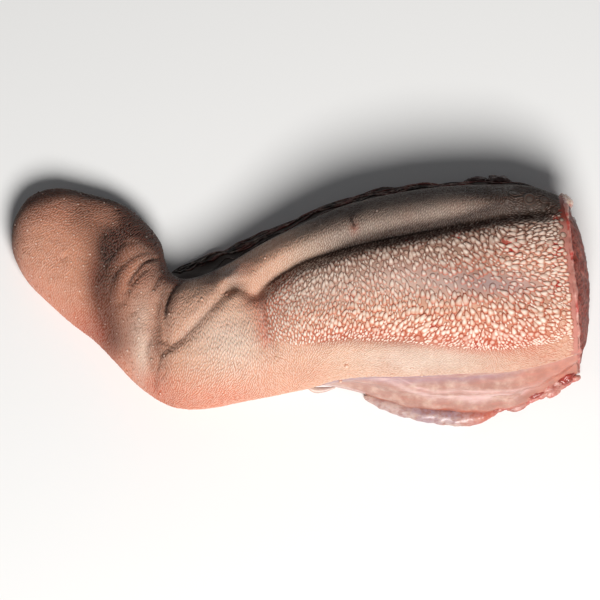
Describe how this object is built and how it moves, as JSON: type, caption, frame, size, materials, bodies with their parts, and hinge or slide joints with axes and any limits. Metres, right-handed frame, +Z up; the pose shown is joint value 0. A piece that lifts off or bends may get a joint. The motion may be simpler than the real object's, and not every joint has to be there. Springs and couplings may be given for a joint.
{
  "type": "raw beef tongue",
  "caption": "Whole raw beef tongue lying on its underside, tip bent sideways at a creased neck, humped papillae side up, thick root cut off square.",
  "frame": {"origin": "middle of the bounding box in plan, on the surface that the tongue lies on", "axes": "+Z up, out of the papillae side; +X from the tip towards the cut root; +Y towards the side that the tip bends to"},
  "size_m": [0.3446, 0.1528, 0.0763],
  "materials": {
    "tongue_skin": "damp, finely papillate skin, tan to pink, greyer along the far side",
    "cut_flesh": "wet, dark red-brown muscle with pale fascia at the cut root and along the foot of the walls",
    "membrane": "wet, glossy pink membrane under the near side, bluish grey at its foot"
  },
  "bodies": {
    "root": {"tongue": "tongue_skin"}
  },
  "joints": []
}
